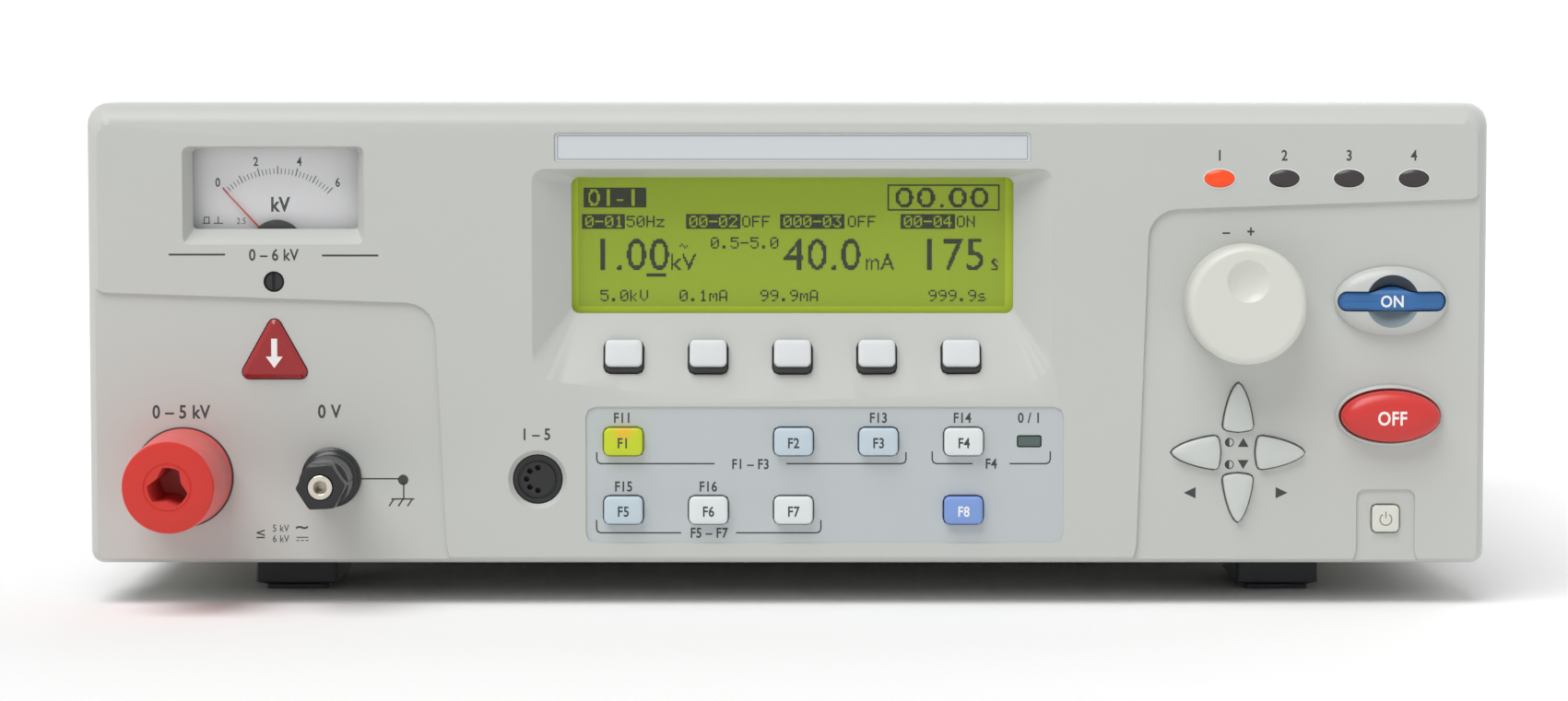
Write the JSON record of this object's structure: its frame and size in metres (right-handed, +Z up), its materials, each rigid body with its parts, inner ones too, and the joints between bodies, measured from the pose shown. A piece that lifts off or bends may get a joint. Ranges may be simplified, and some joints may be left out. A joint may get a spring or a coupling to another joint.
{
  "type": "hipot tester",
  "caption": "Full-rack-width bench tester: moulded front with kilovolt meter, display, keys, entry knob, high voltage and low terminals, on a sheet steel case.",
  "frame": {"origin": "middle of the bounding box's base, at the level of the feet's soles", "axes": "+X to the viewer's right across the front, +Y from the front to the rear, +Z up"},
  "size_m": [0.43, 0.396, 0.1545],
  "materials": {
    "bezel_plastic": "fine moulded grain, light warm grey",
    "black_plastic": "fine grain, black",
    "blue_key": "satin, mid blue",
    "board_green": "circuit board, green",
    "clear_lens": "clear",
    "core_steel": "dark laminated core and metal housings",
    "dial_white": "white printed dial",
    "knob_plastic": "satin, ivory",
    "lamp_red": "deep red lens",
    "lcd_green": "yellow-green display",
    "lit_key": "yellow-green, lit from inside",
    "painted_steel": "light grey powder coat",
    "pale_keys": "satin, pale blue",
    "pointer_red": "painted red",
    "sink_aluminium": "extruded, plain",
    "smoke_lens": "dark lens",
    "start_blue": "half gloss, blue",
    "stop_red": "half gloss, red",
    "terminal_red": "half gloss, orange red",
    "turned_metal": "plated brass, turned",
    "white_keys": "satin, near white",
    "zinc_steel": "zinc plated sheet",
    "legend_ink": "screen print, dark grey",
    "white_ink": "screen print, white",
    "lcd_ink": "display segments, dark green",
    "screw_steel": "plated screws and nuts",
    "lamp_glow": "lit lamp"
  },
  "bodies": {
    "case": {"chassis_base": "zinc_steel", "danger_lamp": "lamp_red", "earth_post": "turned_metal", "encoder_body": "core_steel", "fan_frame": "black_plastic", "foot_front_left": "black_plastic", "foot_front_right": "black_plastic", "foot_rear_left": "black_plastic", "foot_rear_right": "black_plastic", "front_bezel": "bezel_plastic", "heat_sink": "sink_aluminium", "hv_terminal": "terminal_red", "hv_transformer": "core_steel", "interface_connector": "sink_aluminium", "key_board": "board_green", "lcd_module": "lcd_green", "lcd_window": "clear_lens", "low_terminal_base": "black_plastic", "low_terminal_stud": "turned_metal", "main_board": "board_green", "meter_case": "black_plastic", "meter_dial": "dial_white", "meter_window": "clear_lens", "power_inlet": "black_plastic", "rear_panel": "painted_steel", "remote_lens": "smoke_lens", "remote_socket": "black_plastic", "soft_key_board": "board_green", "start_ring": "bezel_plastic", "status_lens_bar": "smoke_lens", "stop_ring": "bezel_plastic", "top_cover": "painted_steel"},
    "arrow_key_down": {"arrow_key_down": "white_keys"},
    "arrow_key_left": {"arrow_key_left": "white_keys"},
    "arrow_key_right": {"arrow_key_right": "white_keys"},
    "arrow_key_up": {"arrow_key_up": "white_keys"},
    "function_key_auto": {"function_key_auto": "pale_keys"},
    "function_key_enter": {"function_key_enter": "white_keys"},
    "function_key_insulation": {"function_key_insulation": "pale_keys"},
    "function_key_local": {"function_key_local": "white_keys"},
    "function_key_recall": {"function_key_recall": "white_keys"},
    "function_key_shift": {"function_key_shift": "blue_key"},
    "function_key_system": {"function_key_system": "pale_keys"},
    "function_key_withstand": {"function_key_withstand": "lit_key"},
    "soft_key_1": {"soft_key_1": "white_keys"},
    "soft_key_2": {"soft_key_2": "white_keys"},
    "soft_key_3": {"soft_key_3": "white_keys"},
    "soft_key_4": {"soft_key_4": "white_keys"},
    "soft_key_5": {"soft_key_5": "white_keys"},
    "power_button": {"power_button": "white_keys"},
    "start_button": {"start_button": "start_blue"},
    "stop_button": {"stop_button": "stop_red"},
    "entry_knob": {"entry_knob": "knob_plastic", "encoder_shaft": "turned_metal"},
    "meter_pointer": {"meter_pointer": "pointer_red"},
    "zero_adjuster": {"zero_adjuster": "black_plastic"},
    "low_terminal_cap": {"low_terminal_cap": "black_plastic"},
    "tilt_leg_left": {"tilt_leg_left": "black_plastic"},
    "tilt_leg_right": {"tilt_leg_right": "black_plastic"},
    "fan_rotor": {"fan_rotor": "black_plastic"}
  },
  "joints": [
    {"name": "arrow_key_down_press", "type": "slide", "parent": "case", "child": "arrow_key_down", "axis": [0, 1, 0], "range_m": [0, 0.001], "stiffness_N_per_m": 400},
    {"name": "arrow_key_left_press", "type": "slide", "parent": "case", "child": "arrow_key_left", "axis": [0, 1, 0], "range_m": [0, 0.001], "stiffness_N_per_m": 400},
    {"name": "arrow_key_right_press", "type": "slide", "parent": "case", "child": "arrow_key_right", "axis": [0, 1, 0], "range_m": [0, 0.001], "stiffness_N_per_m": 400},
    {"name": "arrow_key_up_press", "type": "slide", "parent": "case", "child": "arrow_key_up", "axis": [0, 1, 0], "range_m": [0, 0.001], "stiffness_N_per_m": 400},
    {"name": "function_key_auto_press", "type": "slide", "parent": "case", "child": "function_key_auto", "axis": [0, 1, 0], "range_m": [0, 0.001], "stiffness_N_per_m": 400},
    {"name": "function_key_enter_press", "type": "slide", "parent": "case", "child": "function_key_enter", "axis": [0, 1, 0], "range_m": [0, 0.001], "stiffness_N_per_m": 400},
    {"name": "function_key_insulation_press", "type": "slide", "parent": "case", "child": "function_key_insulation", "axis": [0, 1, 0], "range_m": [0, 0.001], "stiffness_N_per_m": 400},
    {"name": "function_key_local_press", "type": "slide", "parent": "case", "child": "function_key_local", "axis": [0, 1, 0], "range_m": [0, 0.001], "stiffness_N_per_m": 400},
    {"name": "function_key_recall_press", "type": "slide", "parent": "case", "child": "function_key_recall", "axis": [0, 1, 0], "range_m": [0, 0.001], "stiffness_N_per_m": 400},
    {"name": "function_key_shift_press", "type": "slide", "parent": "case", "child": "function_key_shift", "axis": [0, 1, 0], "range_m": [0, 0.001], "stiffness_N_per_m": 400},
    {"name": "function_key_system_press", "type": "slide", "parent": "case", "child": "function_key_system", "axis": [0, 1, 0], "range_m": [0, 0.001], "stiffness_N_per_m": 400},
    {"name": "function_key_withstand_press", "type": "slide", "parent": "case", "child": "function_key_withstand", "axis": [0, 1, 0], "range_m": [0, 0.001], "stiffness_N_per_m": 400},
    {"name": "soft_key_1_press", "type": "slide", "parent": "case", "child": "soft_key_1", "axis": [0, 0.945, -0.3271], "range_m": [0, 0.001], "stiffness_N_per_m": 400},
    {"name": "soft_key_2_press", "type": "slide", "parent": "case", "child": "soft_key_2", "axis": [0, 0.945, -0.3271], "range_m": [0, 0.001], "stiffness_N_per_m": 400},
    {"name": "soft_key_3_press", "type": "slide", "parent": "case", "child": "soft_key_3", "axis": [0, 0.945, -0.3271], "range_m": [0, 0.001], "stiffness_N_per_m": 400},
    {"name": "soft_key_4_press", "type": "slide", "parent": "case", "child": "soft_key_4", "axis": [0, 0.945, -0.3271], "range_m": [0, 0.001], "stiffness_N_per_m": 400},
    {"name": "soft_key_5_press", "type": "slide", "parent": "case", "child": "soft_key_5", "axis": [0, 0.945, -0.3271], "range_m": [0, 0.001], "stiffness_N_per_m": 400},
    {"name": "power_button_press", "type": "slide", "parent": "case", "child": "power_button", "axis": [0, 1, 0], "range_m": [0, 0.001], "stiffness_N_per_m": 500},
    {"name": "start_button_press", "type": "slide", "parent": "case", "child": "start_button", "axis": [0, 1, 0], "range_m": [0, 0.0015], "stiffness_N_per_m": 600},
    {"name": "stop_button_press", "type": "slide", "parent": "case", "child": "stop_button", "axis": [0, 1, 0], "range_m": [0, 0.0025], "stiffness_N_per_m": 600},
    {"name": "entry_knob_turn", "type": "hinge", "parent": "case", "child": "entry_knob", "pos_m": [0.1396, -0.165, 0.09344], "axis": [0, 1, 0], "continuous": true},
    {"name": "meter_pointer_swing", "type": "hinge", "parent": "case", "child": "meter_pointer", "pos_m": [-0.1572, -0.1549, 0.1101], "axis": [0, 1, 0], "range_deg": [0, 86], "stiffness_Nm_per_rad": 0.00002},
    {"name": "zero_adjuster_turn", "type": "hinge", "parent": "case", "child": "zero_adjuster", "pos_m": [-0.1572, -0.162, 0.0998], "axis": [0, 1, 0], "range_deg": [-45, 45]},
    {"name": "low_terminal_cap_turn", "type": "hinge", "parent": "case", "child": "low_terminal_cap", "pos_m": [-0.14, -0.18075, 0.0396], "axis": [0, -1, 0], "continuous": true},
    {"name": "tilt_leg_left_swing", "type": "hinge", "parent": "case", "child": "tilt_leg_left", "pos_m": [-0.1555, -0.11175, 0.00935], "axis": [-1, 0, 0], "range_deg": [0, 88]},
    {"name": "tilt_leg_right_swing", "type": "hinge", "parent": "case", "child": "tilt_leg_right", "pos_m": [0.1555, -0.11175, 0.00935], "axis": [-1, 0, 0], "range_deg": [0, 88]},
    {"name": "fan_rotor_spin", "type": "hinge", "parent": "case", "child": "fan_rotor", "pos_m": [-0.11, 0.1687, 0.0835], "axis": [0, 1, 0], "continuous": true}
  ]
}
